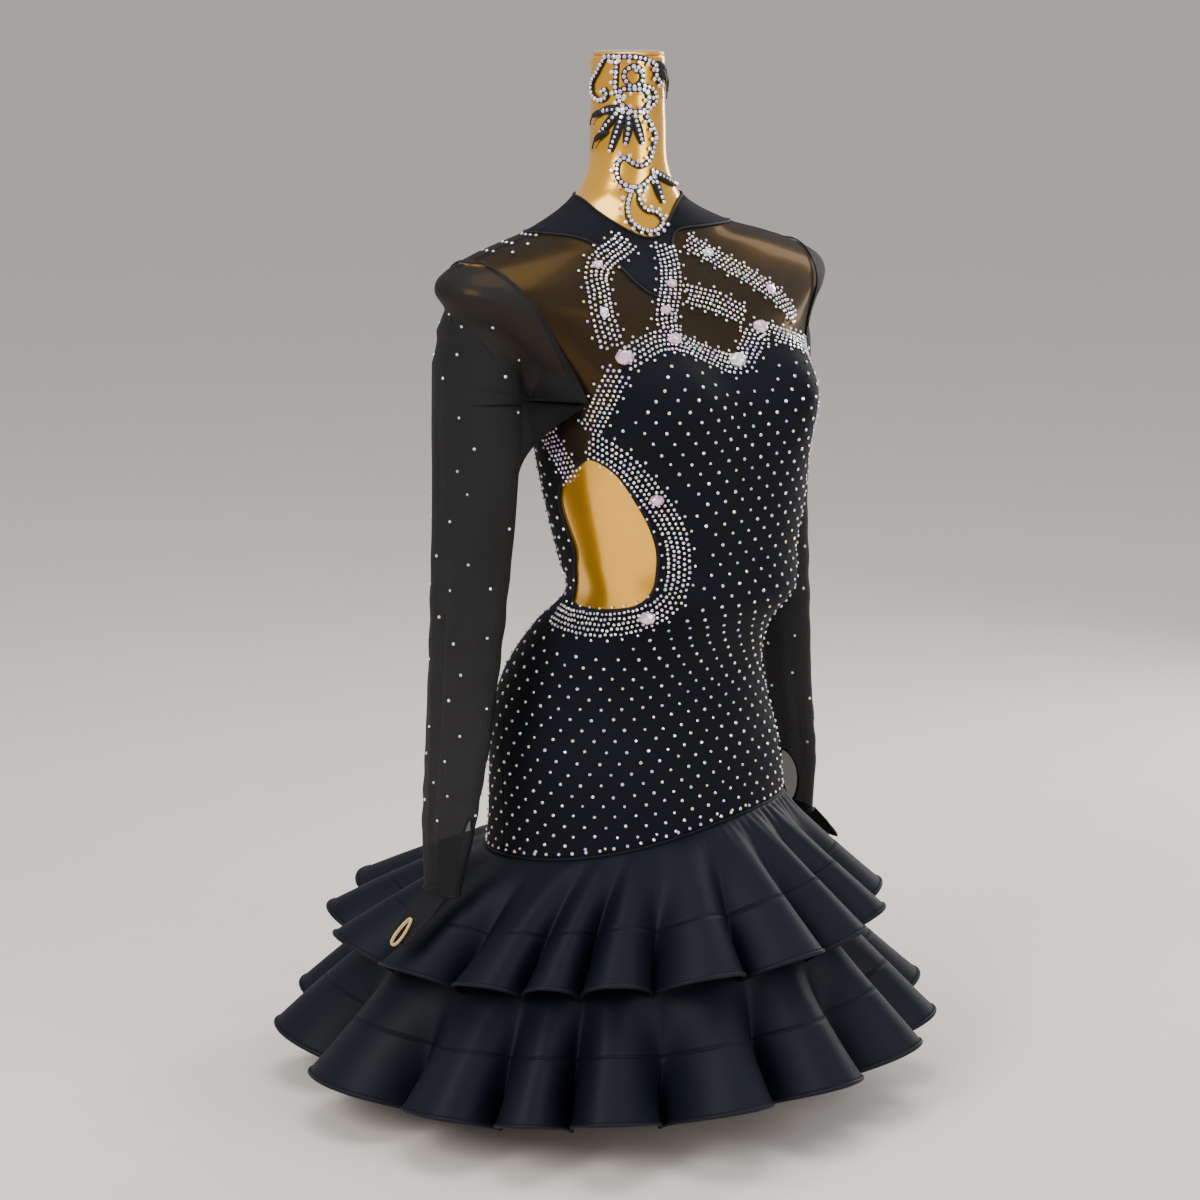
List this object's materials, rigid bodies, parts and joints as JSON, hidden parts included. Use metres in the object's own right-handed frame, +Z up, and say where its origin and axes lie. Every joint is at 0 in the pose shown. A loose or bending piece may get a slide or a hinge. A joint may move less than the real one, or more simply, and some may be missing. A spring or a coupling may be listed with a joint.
{
  "type": "dance dress on display form",
  "caption": "Long-sleeved dance dress with a sheer jewelled yoke, side cutout and two stiff flounces, worn by a headless torso display form.",
  "frame": {"origin": "centre of the stand flange's underside, under the display form", "axes": "+Z up, -Y out of the front of the form, +X towards the form's left side"},
  "size_m": [0.655, 0.6552, 0.9891],
  "materials": {
    "gold_form": "gloss metallic gold",
    "steel": "satin",
    "crystal": "faceted, foil backed",
    "zip": "satin",
    "elastic": "matte",
    "mesh": "sheer stretch mesh",
    "satin": "satin-back crepe",
    "jersey": "matte stretch jersey"
  },
  "bodies": {
    "dress_on_form": {"back_yoke_left": "mesh", "back_yoke_right": "mesh", "base_screw_1": "steel", "base_screw_2": "steel", "base_screw_3": "steel", "bodice_back_left": "jersey", "bodice_back_right": "jersey", "bodice_front": "jersey", "collar": "jersey", "collar_eye": "steel", "collar_hook": "steel", "crystal_band_collar_centre": "crystal", "crystal_band_collar_left": "crystal", "crystal_band_collar_right": "crystal", "crystal_band_cross": "crystal", "crystal_band_cutout": "crystal", "crystal_band_neckline": "crystal", "crystal_band_side": "crystal", "crystal_band_underarm": "crystal", "cutout_binding": "jersey", "form_base_plate": "gold_form", "form_neck_cap": "gold_form", "form_torso": "gold_form", "front_yoke": "mesh", "lower_flounce": "satin", "lower_hem_band": "satin", "neck_lace": "jersey", "neck_tassel": "jersey", "sleeve_head_left": "mesh", "sleeve_head_right": "mesh", "stand_flange": "steel", "stone_centre_lower": "crystal", "stone_centre_upper": "crystal", "stone_cutout_front": "crystal", "stone_cutout_lower": "crystal", "stone_left_chest": "crystal", "stone_left_shoulder": "crystal", "stone_neckline_centre": "crystal", "stone_neckline_dip": "crystal", "stone_neckline_left": "crystal", "stone_neckline_right": "crystal", "stone_right_chest": "crystal", "stone_right_shoulder": "crystal", "underskirt": "satin", "upper_flounce": "satin", "upper_hem_band": "satin", "waist_petals": "satin", "zip_bottom_stop": "zip", "zip_chain_left": "zip", "zip_chain_right": "zip", "zip_top_stop": "zip"},
    "sleeve_right": {"sleeve_right": "mesh", "hand_point_right": "mesh"},
    "sleeve_left": {"sleeve_left": "mesh", "hand_point_left": "mesh"},
    "finger_loop_right": {"finger_loop_right": "elastic"},
    "finger_loop_left": {"finger_loop_left": "elastic"},
    "zip_slider": {"zip_slider": "zip"},
    "zip_pull": {"zip_pull": "zip"}
  },
  "joints": [
    {"name": "sleeve_right_swing", "type": "hinge", "parent": "dress_on_form", "child": "sleeve_right", "pos_m": [-0.183, 0, 0.5], "axis": [1, 0, 0], "range_deg": [-12, 12]},
    {"name": "finger_loop_right_fold", "type": "hinge", "parent": "sleeve_right", "child": "finger_loop_right", "pos_m": [-0.26407, 0, 0.03112], "axis": [0, 1, 0], "range_deg": [0, 110]},
    {"name": "sleeve_left_swing", "type": "hinge", "parent": "dress_on_form", "child": "sleeve_left", "pos_m": [0.183, 0, 0.5], "axis": [1, 0, 0], "range_deg": [-12, 12]},
    {"name": "finger_loop_left_fold", "type": "hinge", "parent": "sleeve_left", "child": "finger_loop_left", "pos_m": [0.26407, 0, 0.03112], "axis": [0, -1, 0], "range_deg": [0, 110]},
    {"name": "zip_slide", "type": "slide", "parent": "dress_on_form", "child": "zip_slider", "axis": [0, 0.2288, 0.9735], "range_m": [-0.1665, 0]},
    {"name": "zip_pull_swing", "type": "hinge", "parent": "zip_slider", "child": "zip_pull", "pos_m": [0.01136, 0.07706, 0.51295], "axis": [1, 0, 0], "range_deg": [0, 150]}
  ]
}
